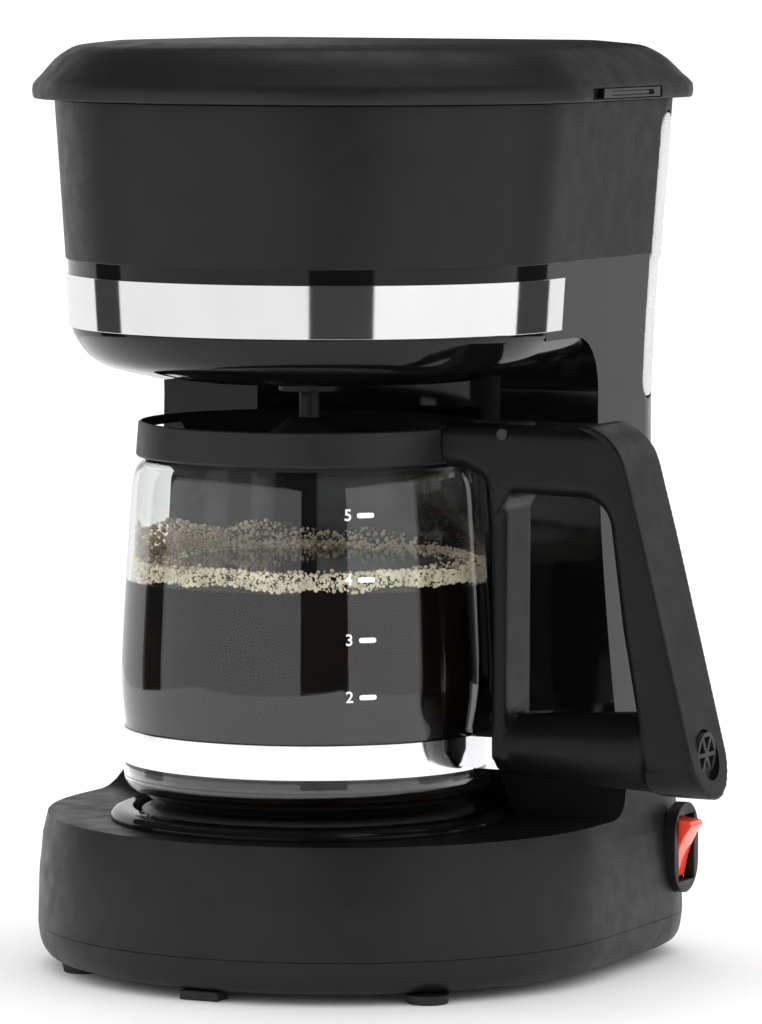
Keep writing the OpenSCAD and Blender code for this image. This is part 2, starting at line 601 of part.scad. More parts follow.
module plate_ring() color("#060606") rotate_extrude() polygon([
  [ring_in_r, deck_z - 0.5], [ring_in_r, ring_top_z - 1.2], [ring_in_r + 0.9, ring_top_z - 0.3],
  [ring_in_r + 2.2, ring_top_z], [ring_r - 4, ring_top_z], [ring_r - 1.4, ring_top_z - 0.8],
  [ring_r - 0.3, ring_top_z - 2], [ring_r, deck_z + 1.2], [ring_r, deck_z + 0.05],
  [deck_hole_r - 0.3, deck_z + 0.05], [deck_hole_r - 0.3, deck_z - 3], [plate_r + 1.9, deck_z - 3],
  [plate_r + 1.9, deck_z - 0.5]
]);
stat_at = [-10, 8.5];
module thermostat() color("#c9b27a") translate([stat_at[0], stat_at[1], plate_z - 1]) {
  translate([0, 0, -9]) cylinder(r = 8, h = 8);
  for (s = [-1, 1]) translate([s * 4 - 2.4, -0.4, -15]) cube([4.8, 0.8, 6]);
}
module thermal_fuses() color("#d9d2bd") for (s = [-1, 1]) along_y(s * 10, -32, bracket_z - 5.4)
  cylinder(r = 2.3, h = 16);

// ---- Electrical ----
module wire(pts) for (i = [0:len(pts) - 2]) {
  d = pts[i + 1] - pts[i];
  l = norm(d);
  translate(pts[i]) rotate([0, acos(d[2] / l), atan2(d[1], d[0])]) cylinder(r = 1.1, h = l, $fn = 12);
  translate(pts[i + 1]) sphere(r = 1.15, $fn = 8);
}
wire_z = 20;
module wiring() color("#f2f2ee") {
  wire([[inlet_x, base_back_y - 8.4, inlet_z], [-20, 70, wire_z], [20, 72, wire_z],
    [switch_face_x - 30, switch_y, switch_z - 5], [switch_face_x - 21.5, switch_y, switch_z - 5]]);
  wire([[switch_face_x - 21.5, switch_y, switch_z + 5], [48, 60, wire_z + 4], [-18, 40, wire_z + 4],
    [stat_at[0] - 4, stat_at[1], plate_z - 17.2]]);
  wire([[stat_at[0] + 4, stat_at[1], plate_z - 17.2], [-8, -4, bracket_z - 9], [-10, -12, bracket_z - 6],
    [-10, -14.7, bracket_z - 5.4]]);
}
module bezel_outline(g) hull() for (s = [-1, 1]) translate([s * (bezel_half[1] - bezel_half[0]), 0])
  circle(r = bezel_half[0] - g, $fn = 32);
module switch_bezel() color("#1c1d1e") translate([base_half_w - bezel_sink + 0.05, switch_y, switch_z])
  rotate([0, 90, 0]) difference() {
    linear_extrude(bezel_sink + 2) bezel_outline(0);
    translate([0, 0, -1]) linear_extrude(6) square([19.6, 11.6], center = true);
  }
rocker_x = base_half_w - 5;
pivot_r = 1.6;
module switch_body() color("#131313") difference() {
  translate([switch_face_x - 18, switch_y - 6, switch_z - 10])
    cube([base_half_w - bezel_sink - switch_face_x + 18, 12, 20]);
  translate([switch_face_x - 10, switch_y - 5, switch_z - 9.6]) cube([20, 10, 19.2]);
  along_y(rocker_x - 1, switch_y - 10, switch_z) cylinder(r = pivot_r, h = 20);
}
module switch_rocker() color("#d8342a", 0.85) translate([rocker_x, switch_y, switch_z]) rotate([90, 0, 0])
  difference() {
    linear_extrude(9.4, center = true) polygon([
      [-4, -5.2], [2.2, -8.4], [4.2, -9], [5, -4.6], [6.4, 0], [8.4, 4], [10.6, 6], [9.8, 6.8], [2.6, 8.4],
      [-4, 5.2]
    ]);
    translate([-1, 0, 0]) cylinder(r = pivot_r + slip, h = 20, center = true);
  }
module switch_pivot() color("#b9bbbf") along_y(rocker_x - 1, switch_y - 6, switch_z)
  cylinder(r = pivot_r, h = 12);
module switch_lamp() color("#ffb070") along_y(switch_face_x - 8.5, switch_y - 4, switch_z)
  cylinder(r = 1.3, h = 8);
inlet_len = 8;
cord_hole_r = 3.2;
module cord_inlet() color("#111111") along_y(inlet_x, base_back_y + 1.5 - inlet_len, inlet_z)
  difference() {
    union() {
      cylinder(r = inlet_r, h = inlet_len);
      translate([0, 0, inlet_len - 1.5 - wall - 2.8]) cylinder(r = inlet_r + 2, h = 2);
      translate([0, 0, inlet_len - 1.4]) cylinder(r = inlet_r + 2, h = 1.4);
    }
    translate([0, 0, -1]) cylinder(r = cord_hole_r, h = 20);
  }

// ---- Feet and fasteners ----
round_spots = [[57.5, -40], [-57.5, -32], [62, 76], [-62, 76]];
module round_feet() color("#0c0c0c") for (p = round_spots) translate([p[0], p[1], 0]) {
  cylinder(r1 = foot_r - 0.6, r2 = foot_r, h = foot_h);
}
module square_foot() color("#161616") translate([-8.5, -66, 0]) cube([12, 7, foot_h]);
module base_screws() color("#9b9da1") for (p = screw_spots) translate([p[0], p[1], 0]) {
  translate([0, 0, floor_z + wall + 0.1]) cylinder(r = 3.2, h = 1.8);
  translate([0, 0, floor_z + wall + 1.8]) cylinder(r = screw_r - 0.05, h = 16);
}
column_screw_at = [62, 55];
module column_screws() color("#9b9da1") for (s = [-1, 1])
  translate([s * column_screw_at[0], column_screw_at[1], foot_seam_z - 6]) {
  cylinder(r = 1.6, h = 12);
  translate([0, 0, -1.8]) cylinder(r = 3, h = 1.9);
}

// ---- Carafe ----
carafe_z = plate_z + 0.2;
mouth_z = carafe_z + carafe_h;
neck_r = carafe_r - 7.7;
lid_top_z = mouth_z + 8.2;
lid_low_z = mouth_z - 2;
collar_r = carafe_r - 4.2;
function glass_profile(g) = [
  [0, carafe_z + g], [carafe_r - 12 - g, carafe_z + g], [carafe_r - 8 - g, carafe_z + 1.6 + g * 0.8],
  [carafe_r - 3.6 - g, carafe_z + 5.4 + g * 0.3], [carafe_r - 1.4 - g, carafe_z + 9.5],
  [carafe_r - 1.1 - g, carafe_z + 13], [carafe_r - 1.1 - g, carafe_z + 23],
  [carafe_r - 0.3 - g, carafe_z + 30],
  [carafe_r - g, carafe_z + 38], [carafe_r - 0.5 - g, carafe_z + 50], [carafe_r - 1.4 - g, carafe_z + 68],
  [carafe_r - 2.7 - g, carafe_z + 88], [carafe_r - 3.4 - g, carafe_z + carafe_h - 9],
  [carafe_r - 4.8 - g, carafe_z + carafe_h - 5], [neck_r + 0.3 - g, carafe_z + carafe_h - 2.6],
  [neck_r - g, carafe_z + carafe_h]
];
spout_half_w = 8;
module glass_spout(g) hull() {
  translate([-neck_r + 3, 0, mouth_z - 5 + g]) cylinder(r = spout_half_w - g, h = 5, $fn = 24);
  translate([-carafe_r - 4.5, 0, mouth_z + 1.6]) cylinder(r = 3.2 - g, h = 1, $fn = 24);
}
module carafe_glass() color("#dfe6e8", 0.35) difference() {
  union() {
    rotate_extrude() polygon(concat(glass_profile(0), [[0, mouth_z]]));
    glass_spout(0);
  }
  rotate_extrude() polygon(concat(
    glass_profile(glass_t), [[neck_r - glass_t, mouth_z + 5], [0, mouth_z + 5]]
  ));
  glass_spout(1.4);
  translate([0, 0, mouth_z]) cylinder(r = neck_r - glass_t, h = 8);
}
band_low_z = carafe_z + 13;
module carafe_band() color("#dcdddf") translate([0, 0, band_low_z]) tube(carafe_r - 0.5, 0.55, 10);

handle_top_z = lid_top_z + 1.8;
arm_bottom_z = handle_top_z - 20.4;
grip_top_x = grip_reach - 26;
grip_low_z = carafe_z + 12;
spine_x = carafe_r + 9;
low_arm_z = carafe_z + 21;
handle_pin = [carafe_r + 12.9, lid_top_z - 1];
lid_pin_r = 1.6;
bend_z = handle_top_z - 10;                      // where the slope of the grip starts
grip_slope = (grip_reach - grip_top_x - 2) / (bend_z - grip_low_z);
function grip_x(z) = grip_top_x - 2 + grip_slope * (bend_z - z);
module handle_side() difference() {
  polygon([
    [carafe_r - 10, handle_top_z - 1.2], [carafe_r - 4, handle_top_z - 1], [grip_top_x - 20, handle_top_z],
    [grip_top_x - 13, handle_top_z - 1], [grip_top_x - 7, handle_top_z - 3.4],
    [grip_x(bend_z) - 2, bend_z], [grip_x(grip_low_z) - 2, grip_low_z],
    [grip_x(grip_low_z) - 5, grip_low_z - 1.6], [spine_x - 12, grip_low_z + 1], [spine_x - 12, low_arm_z],
    [spine_x, low_arm_z + 6], [spine_x, lid_low_z - 8], [spine_x - 4, lid_low_z - 1.2],
    [carafe_r - 10, lid_low_z - 0.6]
  ]);
  polygon([
    [spine_x + 4.2, arm_bottom_z - 8], [spine_x + 7, arm_bottom_z - 2], [spine_x + 12, arm_bottom_z],
    [grip_top_x - 15, arm_bottom_z], [grip_top_x - 9, arm_bottom_z - 3], [grip_top_x - 5.4, arm_bottom_z - 9],
    [grip_x(low_arm_z + 11) - 13.5, low_arm_z + 11], [spine_x + 4.2, low_arm_z + 8.4]
  ]);
}
spine_half_w = 10;
// Both arms of the handle seen from the end: round below, straight above
module arm_section() rotate([90, 0, 90]) linear_extrude(far) {
  translate([0, low_arm_z + 0.4]) circle(r = handle_w / 2);
  translate([-handle_w / 2, low_arm_z + 0.4]) square([handle_w, 120]);
}
module carafe_handle() color("#222324") difference() {
  intersection() {
    rotate([90, 0, 0]) linear_extrude(handle_w, center = true) handle_side();
    arm_section();
  }
  translate([0, 0, carafe_z - 1]) cylinder(r = carafe_r + 0.25, h = lid_low_z - carafe_z - 0.2);
  translate([0, 0, lid_low_z - 2]) cylinder(r = collar_r + 0.6, h = 30);
  along_y(handle_pin[0], 0, handle_pin[1]) cylinder(r = lid_pin_r, h = 60, center = true);
  translate([carafe_r - 10, -tongue_w / 2 - fit_gap, lid_top_z - 5.2])
    cube([handle_pin[0] - carafe_r + 13.6, tongue_w + 2 * fit_gap, 20]);
  for (y = [spine_half_w, -spine_half_w - 20]) translate([spine_x - 11.5, y, low_arm_z + 10])
    cube([15.4, 20, lid_low_z - low_arm_z - 22]);
  along_x(carafe_r - 2, 0, low_arm_z) cylinder(r = 2.1, h = 100);
  along_x(grip_x(low_arm_z) - 5.3, 0, low_arm_z) cylinder(r = 6.6, h = 20);
}
module grip_cover() color("#262728") difference() {
  intersection() {
    grip_strap();
    arm_section();
  }
  translate([grip_x(low_arm_z) - 20, 0, low_arm_z]) rotate([0, 90, 0]) cylinder(r = 7.2, h = 40);
}
module grip_strap() rotate([90, 0, 0]) linear_extrude(handle_w, center = true)
  polygon([
    [grip_top_x - 13, handle_top_z - 0.95], [grip_top_x - 6.8, handle_top_z - 3.3],
    [grip_x(bend_z) - 1.95, bend_z], [grip_x(grip_low_z) - 1.95, grip_low_z],
    [grip_x(grip_low_z) - 4.9, grip_low_z - 1.65], [grip_x(grip_low_z) - 2.6, grip_low_z - 3.4],
    [grip_x(grip_low_z) + 0.6, grip_low_z + 0.6], [grip_x(bend_z) + 0.4, bend_z + 0.6],
    [grip_top_x - 5.4, handle_top_z - 1.6], [grip_top_x - 12, handle_top_z + 0.5]
  ]);
module handle_screw() color("#a4a6aa") {
  along_x(carafe_r + 0.2, 0, low_arm_z) cylinder(r = 2, h = grip_x(low_arm_z) - 5.4 - carafe_r);
  along_x(grip_x(low_arm_z) - 5.2, 0, low_arm_z) cylinder(r = 4.4, h = 2.6);
}
module screw_cap() color("#1d1e1f") along_x(grip_x(low_arm_z) - 1.9, 0, low_arm_z) difference() {
  cylinder(r = 6.5, h = 2.6);
  for (a = [0:60:300]) rotate(a) translate([0, 0, 1.2]) linear_extrude(3)
    polygon([[1.3, 0], [5.1, -2.2], [5.1, 2.2]]);
}

tongue_w = 12;
hub_z = lid_top_z + 0.6;
module carafe_lid() color("#252627") difference() {
  union() {
    rotate_extrude() polygon([
      [0, lid_top_z - 6], [collar_r - 5, lid_top_z - 6], [collar_r - 3.4, lid_top_z - 3],
      [collar_r - 2.2, lid_top_z - 0.6], [collar_r - 1.4, lid_top_z], [collar_r - 0.7, lid_top_z - 0.4],
      [collar_r, lid_low_z + 0.6], [collar_r - 0.4, lid_low_z], [collar_r - 2, lid_low_z],
      [collar_r - 2.6, mouth_z + 0.3], [neck_r - glass_t - 0.5, mouth_z + 0.3],
      [neck_r - glass_t - 0.8, mouth_z - 4], [neck_r - glass_t - 2.2, mouth_z - 4],
      [neck_r - glass_t - 2.4, lid_top_z - 7.6], [0, lid_top_z - 7.6]
    ]);
    translate([0, 0, lid_top_z - 6.1]) cylinder(r1 = 15, r2 = 6, h = hub_z - lid_top_z + 6.1);
    translate([collar_r - 6, -tongue_w / 2, lid_top_z - 4.9])
      cube([handle_pin[0] - collar_r + 6, tongue_w, 5]);
    along_y(handle_pin[0], 0, handle_pin[1]) cylinder(r = 3, h = tongue_w, center = true);
  }
  translate([0, 0, lid_top_z - 8.6]) cylinder(r = 1.8, h = 20);
  along_y(handle_pin[0], 0, handle_pin[1]) cylinder(r = lid_pin_r + slip, h = 60, center = true);
  translate([-collar_r - 8, -spout_half_w - 1, lid_low_z - 1])
    cube([17, 2 * spout_half_w + 2, lid_top_z - lid_low_z - 1.6]);
}
module carafe_lid_pin() color("#b2b4b8") along_y(handle_pin[0], 0, handle_pin[1])
  cylinder(r = lid_pin_r, h = handle_w + 0.4, center = true);

bottom_cover();
base_shell();
column_housing();
upper_shell();
head_trim_band();
inner_deck();
brew_chamber();
reservoir_tank();
water_window();
window_gasket();
top_lid();
lid_hinge_pins();
lid_side_catch();
brew_basket();
basket_cap();
drip_valve();
valve_seal();
valve_spring();
riser_pipe();
spray_arm();
shower_head();
outlet_fitting();
check_valve_body();
check_ball();
cold_hose();
hot_hose();
hose_clamps();
heater_body();
heating_rod();
heater_bracket();
bracket_screw();
warming_plate();
plate_gasket();
plate_ring();
thermostat();
thermal_fuses();
wiring();
switch_bezel();
switch_body();
switch_rocker();
switch_pivot();
switch_lamp();
cord_inlet();
round_feet();
square_foot();
base_screws();
column_screws();
carafe_glass();
carafe_band();
carafe_handle();
grip_cover();
handle_screw();
screw_cap();
carafe_lid();
carafe_lid_pin();
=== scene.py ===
import bpy
import json
import math
import random
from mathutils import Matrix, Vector

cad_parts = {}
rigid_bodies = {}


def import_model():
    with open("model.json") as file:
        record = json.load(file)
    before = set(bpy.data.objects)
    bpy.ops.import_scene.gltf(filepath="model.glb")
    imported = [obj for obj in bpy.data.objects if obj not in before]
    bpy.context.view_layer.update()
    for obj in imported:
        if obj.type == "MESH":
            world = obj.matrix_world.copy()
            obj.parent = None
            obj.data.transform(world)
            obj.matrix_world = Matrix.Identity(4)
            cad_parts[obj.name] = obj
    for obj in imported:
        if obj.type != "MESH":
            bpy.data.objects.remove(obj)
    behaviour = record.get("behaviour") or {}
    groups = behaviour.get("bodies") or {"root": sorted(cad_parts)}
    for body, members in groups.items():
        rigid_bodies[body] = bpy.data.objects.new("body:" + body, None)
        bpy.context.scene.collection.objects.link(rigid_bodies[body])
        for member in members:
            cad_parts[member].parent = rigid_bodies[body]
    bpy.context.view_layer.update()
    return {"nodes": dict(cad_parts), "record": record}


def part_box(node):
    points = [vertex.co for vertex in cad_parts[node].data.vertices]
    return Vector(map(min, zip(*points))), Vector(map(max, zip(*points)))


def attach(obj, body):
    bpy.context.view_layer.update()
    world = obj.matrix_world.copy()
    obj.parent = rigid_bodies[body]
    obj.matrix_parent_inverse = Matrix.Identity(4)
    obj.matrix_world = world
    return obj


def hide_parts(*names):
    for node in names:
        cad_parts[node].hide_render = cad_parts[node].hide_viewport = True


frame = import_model()
nodes = frame["nodes"]
mm = 0.001
random.seed(7)
for block in list(bpy.data.objects):
    if block.type in {"CAMERA", "LIGHT"} or block.name == "Cube":
        bpy.data.objects.remove(block)
print("frame loaded:", len(nodes), "nodes")


def newNode(tree, kind, **values):
    made = tree.nodes.new(kind)
    for key, value in values.items():
        if key in made.inputs:
            made.inputs[key].default_value = value
        else:
            setattr(made, key, value)
    return made


def noiseOn(tree, vector, scale, detail=2.0):
    made = newNode(tree, "ShaderNodeTexNoise", Scale=scale, Detail=detail)
    tree.links.new(vector, made.inputs["Vector"])
    return made.outputs["Fac"]


def remap(tree, value, low, high):
    made = newNode(tree, "ShaderNodeMapRange")
    made.inputs["From Min"].default_value = 0.3
    made.inputs["From Max"].default_value = 0.7
    made.inputs["To Min"].default_value = low
    made.inputs["To Max"].default_value = high
    tree.links.new(value, made.inputs["Value"])
    return made.outputs["Result"]


# colour, rough and grain from noise on Object coordinates; the rest is set on the shader
def makeFinish(name, look):
    finish = bpy.data.materials.new(name)
    finish.use_nodes = True
    tree = finish.node_tree
    shader = tree.nodes["Principled BSDF"]
    where = newNode(tree, "ShaderNodeTexCoord").outputs["Object"]
    if "stretch" in look:  # brushed or drawn surfaces
        turned = newNode(tree, "ShaderNodeMapping")
        turned.inputs["Scale"].default_value = look["stretch"]
        tree.links.new(where, turned.inputs["Vector"])
        grainAt = turned.outputs["Vector"]
    else:
        grainAt = where
    colour = look["colour"]
    spread = look.get("spread", 0.12)
    ramp = newNode(tree, "ShaderNodeValToRGB")
    ramp.color_ramp.elements[0].position = 0.3
    ramp.color_ramp.elements[1].position = 0.7
    ramp.color_ramp.elements[0].color = [c * (1 - spread) for c in colour] + [1]
    ramp.color_ramp.elements[1].color = [min(1, c * (1 + spread)) for c in colour] + [1]
    tree.links.new(noiseOn(tree, where, look.get("patch", 60), 3), ramp.inputs["Fac"])
    tree.links.new(ramp.outputs["Color"], shader.inputs["Base Color"])
    rough = look["rough"]
    swing = look.get("roughSwing", 0.15) * rough
    tree.links.new(
        remap(tree, noiseOn(tree, grainAt, look.get("smear", 140), 4), rough - swing, rough + swing),
        shader.inputs["Roughness"],
    )
    bump = newNode(tree, "ShaderNodeBump", Strength=look.get("bump", 0.2), Distance=look.get("depth", 0.00005))
    grain = noiseOn(tree, grainAt, look.get("grain", 2400), 2)
    tree.links.new(grain, bump.inputs["Height"])
    if "ripple" in look:  # slow waviness of a moulded face, under the grain
        wave = newNode(tree, "ShaderNodeBump", Strength=look["ripple"], Distance=0.0004)
        tree.links.new(noiseOn(tree, where, 26, 0), wave.inputs["Height"])
        tree.links.new(wave.outputs["Normal"], bump.inputs["Normal"])
    tree.links.new(bump.outputs["Normal"], shader.inputs["Normal"])
    for key, value in look.get("fixed", {}).items():
        shader.inputs[key].default_value = value
    return finish


finishLooks = {
    "satinShell": dict(colour=(0.008, 0.008, 0.0083), rough=0.42, grain=2600, bump=0.35, depth=0.00004,
                       patch=40, fixed={"Specular IOR Level": 0.26}),
    "satinLid": dict(colour=(0.010, 0.010, 0.0103), rough=0.45, grain=2600, bump=0.35, depth=0.00004, patch=40,
                     fixed={"Specular IOR Level": 0.3}),
    "satinHandle": dict(colour=(0.004, 0.004, 0.0042), rough=0.36, grain=2200, bump=0.3, depth=0.00004,
                        patch=50, fixed={"Specular IOR Level": 0.2}),
    "pianoBlack": dict(colour=(0.0035, 0.0035, 0.0037), rough=0.07, grain=900, bump=0.02, depth=0.00002,
                       ripple=0.03, roughSwing=0.3, smear=60, fixed={"Specular IOR Level": 0.3}),
    "innerBlack": dict(colour=(0.014, 0.014, 0.015), rough=0.5, grain=1800, bump=0.3),
    "mirrorBand": dict(colour=(0.86, 0.86, 0.87), rough=0.06, grain=60, bump=0.02, depth=0.00003,
                       stretch=(8, 8, 900), spread=0.03, fixed={"Metallic": 1.0}),
    "zincSteel": dict(colour=(0.55, 0.56, 0.58), rough=0.32, grain=700, bump=0.15, fixed={"Metallic": 1.0}),
    "castMetal": dict(colour=(0.58, 0.59, 0.6), rough=0.45, grain=900, bump=0.5, depth=0.0001,
                      fixed={"Metallic": 1.0}),
    "rodSheath": dict(colour=(0.25, 0.2, 0.17), rough=0.42, grain=500, bump=0.3, fixed={"Metallic": 1.0}),
    "plateCoat": dict(colour=(0.03, 0.03, 0.031), rough=0.36, grain=1500, bump=0.4, depth=0.00006,
                      spread=0.3, patch=900),
    "blackRubber": dict(colour=(0.011, 0.011, 0.011), rough=0.7, grain=900, bump=0.4, depth=0.00008),
    "whiteSilicone": dict(colour=(0.7, 0.7, 0.67), rough=0.45, grain=500, bump=0.15,
                          fixed={"Subsurface Weight": 0.2, "Subsurface Scale": 0.002}),
    "milkyPlastic": dict(colour=(0.74, 0.74, 0.7), rough=0.4, grain=800, bump=0.12,
                         fixed={"Subsurface Weight": 0.25, "Subsurface Scale": 0.002}),
    "tankPlastic": dict(colour=(0.16, 0.165, 0.17), rough=0.35, grain=900, bump=0.15),
    "redValve": dict(colour=(0.42, 0.05, 0.04), rough=0.35, grain=700, bump=0.12),
    "phenolic": dict(colour=(0.2, 0.13, 0.07), rough=0.5, grain=1200, bump=0.3, spread=0.3, patch=600),
    "braidSleeve": dict(colour=(0.72, 0.7, 0.64), rough=0.8, grain=1600, bump=0.8, depth=0.0002,
                        stretch=(1, 1, 3)),
    "rockerRed": dict(colour=(0.72, 0.05, 0.025), rough=0.16, grain=500, bump=0.05, spread=0.1, patch=200,
                      fixed={"Subsurface Weight": 0.35, "Subsurface Scale": 0.004, "Coat Weight": 0.5,
                             "Coat Roughness": 0.08, "Emission Color": (1.0, 0.12, 0.04, 1),
                             "Emission Strength": 0.12}),
    "lampGlass": dict(colour=(0.95, 0.6, 0.35), rough=0.1, grain=300, bump=0.05,
                      fixed={"Emission Color": (1.0, 0.45, 0.2, 1), "Emission Strength": 1.5}),
    "gaugeClear": dict(colour=(0.8, 0.81, 0.82), rough=0.28, grain=600, bump=0.1, spread=0.05,
                       fixed={"Transmission Weight": 0.35, "IOR": 1.49}),
    "clearGlass": dict(colour=(0.97, 0.985, 0.98), rough=0.012, grain=40, bump=0.01, depth=0.0002, spread=0.01,
                       roughSwing=0.6, smear=30, fixed={"Transmission Weight": 1.0, "IOR": 1.47}),
    "coffee": dict(colour=(0.0028, 0.0017, 0.0011), rough=0.05, grain=90, bump=0.03, depth=0.0003, spread=0.4),
    "printWhite": dict(colour=(0.85, 0.85, 0.84), rough=0.5, grain=3000, bump=0.2, spread=0.04, patch=900),
}
finishes = {name: makeFinish(name, look) for name, look in finishLooks.items()}


# lets straight light through clear walls so that what is inside is lit
def passLight(finish):
    tree = finish.node_tree
    shader = tree.nodes["Principled BSDF"]
    out = tree.nodes["Material Output"]
    path = newNode(tree, "ShaderNodeLightPath")
    clear = newNode(tree, "ShaderNodeBsdfTransparent")
    either = newNode(tree, "ShaderNodeMath", operation="MAXIMUM")
    mix = newNode(tree, "ShaderNodeMixShader")
    tree.links.new(path.outputs["Is Shadow Ray"], either.inputs[0])
    tree.links.new(path.outputs["Is Diffuse Ray"], either.inputs[1])
    tree.links.new(either.outputs[0], mix.inputs["Fac"])
    tree.links.new(shader.outputs["BSDF"], mix.inputs[1])
    tree.links.new(clear.outputs["BSDF"], mix.inputs[2])
    tree.links.new(mix.outputs["Shader"], out.inputs["Surface"])


passLight(finishes["clearGlass"])


# pale wet froth, browner in patches
frothLook = dict(colour=(0.56, 0.49, 0.36), rough=0.18, grain=900, bump=0.3, depth=0.0002, spread=0.3,
                 patch=160, fixed={"Subsurface Weight": 0.3, "Subsurface Scale": 0.001})
finishes["froth"] = makeFinish("froth", frothLook)
slotFinish = {
    "satin_black_plastic": "satinShell", "gloss_black_plastic": "pianoBlack",
    "inner_black_plastic": "innerBlack", "clear_plastic": "gaugeClear", "tank_plastic": "tankPlastic",
    "bright_trim": "mirrorBand",
    "zinc_steel": "zincSteel", "spring_steel": "zincSteel", "valve_red_plastic": "redValve",
    "silicone_white": "whiteSilicone", "natural_plastic": "milkyPlastic", "cast_aluminium": "castMetal",
    "rod_steel": "rodSheath", "plate_coating": "plateCoat", "black_rubber": "blackRubber",
    "phenolic": "phenolic", "wire_sleeve": "braidSleeve", "red_translucent": "rockerRed",
    "lamp_glass": "lampGlass", "carafe_glass": "clearGlass",
}
nodeFinish = {"carafe_lid_pin": "innerBlack", "drip_valve": "innerBlack"}
nodeSlot = {part["node"]: part["material_slot"] for part in frame["record"]["subparts"]}
nodeBody = {n: b for b, names in frame["record"]["behaviour"]["bodies"].items() for n in names}


def dress(piece, finishName):
    piece.data.materials.clear()
    piece.data.materials.append(finishes[finishName])


for nodeName, obj in nodes.items():
    dress(obj, nodeFinish.get(nodeName, slotFinish[nodeSlot[nodeName]]))
print("finishes made:", len(finishes))


def pickOnly(piece=None):
    bpy.ops.object.select_all(action="DESELECT")
    if piece:
        piece.select_set(True)
        bpy.context.view_layer.objects.active = piece


def applyAll(piece):
    pickOnly(piece)
    for step in list(piece.modifiers):
        bpy.ops.object.modifier_apply(modifier=step.name)


# bakes the place into the mesh, smooths it and ties it to its body
def settle(piece, body, finishName, angle=35, covers=()):
    pickOnly(piece)
    bpy.ops.object.transform_apply(location=True, rotation=True, scale=True)
    if angle:
        bpy.ops.object.shade_smooth_by_angle(angle=math.radians(angle))
    dress(piece, finishName)
    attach(piece, body)
    if covers:
        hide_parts(*covers)
    return piece


def soften(piece, cell, passes):
    step = piece.modifiers.new("cells", "REMESH")
    step.mode = "VOXEL"
    step.voxel_size = cell * mm
    step = piece.modifiers.new("relax", "SMOOTH")
    step.factor = 0.5
    step.iterations = passes
    applyAll(piece)


# a welded copy of a CAD node with its flat faces joined up
def mergedCopy(nodeName, pieceName):
    piece = bpy.data.objects.new(pieceName, nodes[nodeName].data.copy())
    bpy.context.scene.collection.objects.link(piece)
    pickOnly(piece)
    bpy.ops.mesh.customdata_custom_splitnormals_clear()
    bpy.ops.object.mode_set(mode="EDIT")
    bpy.ops.mesh.select_all(action="SELECT")
    bpy.ops.mesh.remove_doubles(threshold=2e-6)
    bpy.ops.mesh.dissolve_limited(angle_limit=math.radians(0.25))
    bpy.ops.object.mode_set(mode="OBJECT")
    return piece


# the node again with its hard edges rounded by edge millimetres
def softCopy(nodeName, finishName, edge=0.4, rounds=2, angle=35, smoothAngle=35):
    piece = mergedCopy(nodeName, nodeName + "Soft")
    bpy.ops.object.shade_smooth_by_angle(angle=math.radians(smoothAngle))
    step = piece.modifiers.new("edges", "BEVEL")
    step.width = edge * mm
    step.segments = rounds
    step.limit_method = "ANGLE"
    step.angle_limit = math.radians(angle)
    step = piece.modifiers.new("flatter", "WEIGHTED_NORMAL")
    step.keep_sharp = True
    applyAll(piece)
    return settle(piece, nodeBody[nodeName], finishName, None, (nodeName,))


# a smooth run of points through the given ones
def curveThrough(points, steps):
    run = []
    for i in range(len(points) - 1):
        a, b, c, d = (Vector(points[max(0, min(k, len(points) - 1))]) for k in (i - 1, i, i + 1, i + 2))
        for j in range(steps):
            t = j / steps
            run.append(0.5 * (2 * b + (c - a) * t + (2 * a - 5 * b + 4 * c - d) * t * t
                              + (3 * b - a - 3 * c + d) * t * t * t))
    run.append(Vector(points[-1]))
    return run


# circle drawn out ring by ring along (radius, height) in millimetres; both ends close on the axis
def turned(name, profile, sides=128):
    pickOnly()
    firstR, firstZ = profile[0]
    bpy.ops.mesh.primitive_circle_add(vertices=sides, radius=firstR * mm, location=(0, 0, firstZ * mm))
    piece = bpy.context.object
    piece.name = name
    bpy.ops.object.mode_set(mode="EDIT")
    bpy.ops.mesh.select_all(action="SELECT")
    bpy.ops.mesh.edge_face_add()
    bpy.ops.mesh.select_all(action="SELECT")
    r, z = firstR, firstZ
    for nextR, nextZ in profile[1:]:
        bpy.ops.mesh.extrude_region_move(TRANSFORM_OT_translate={"value": (0, 0, (nextZ - z) * mm)})
        bpy.ops.transform.resize(value=(nextR / r, nextR / r, 1), center_override=(0, 0, nextZ * mm))
        r, z = nextR, nextZ
    bpy.ops.object.mode_set(mode="OBJECT")
    return piece


# the machine: each shell with the width its edges are rounded by, in millimetres
softCopy("bottom_cover", "satinShell", 0.3)
softCopy("base_shell", "satinShell", 0.5)
softCopy("column_housing", "pianoBlack", 0.5)
softCopy("upper_shell", "satinShell", 0.3)
softCopy("head_trim_band", "mirrorBand", 0.12)
softCopy("top_lid", "satinLid", 0.3)
softCopy("lid_side_catch", "pianoBlack", 0.3)
gauge = mergedCopy("water_window", "waterWindowSoft")
soften(gauge, 0.5, 8)
settle(gauge, "machine", "gaugeClear", 40, ("water_window",))
softCopy("plate_ring", "pianoBlack", 0.25)
softCopy("warming_plate", "plateCoat", 0.2)
softCopy("inner_deck", "innerBlack", 0.25)
softCopy("brew_chamber", "innerBlack", 0.25)
softCopy("brew_basket", "innerBlack", 0.25)
softCopy("spray_arm", "milkyPlastic", 0.2)
softCopy("shower_head", "milkyPlastic", 0.2)
for footNode in ("round_feet", "square_foot"):
    softCopy(footNode, "blackRubber", 0.4)
print("machine shells done")

softCopy("switch_bezel", "satinShell", 0.7, 3)
softCopy("cord_inlet", "blackRubber", 0.3)

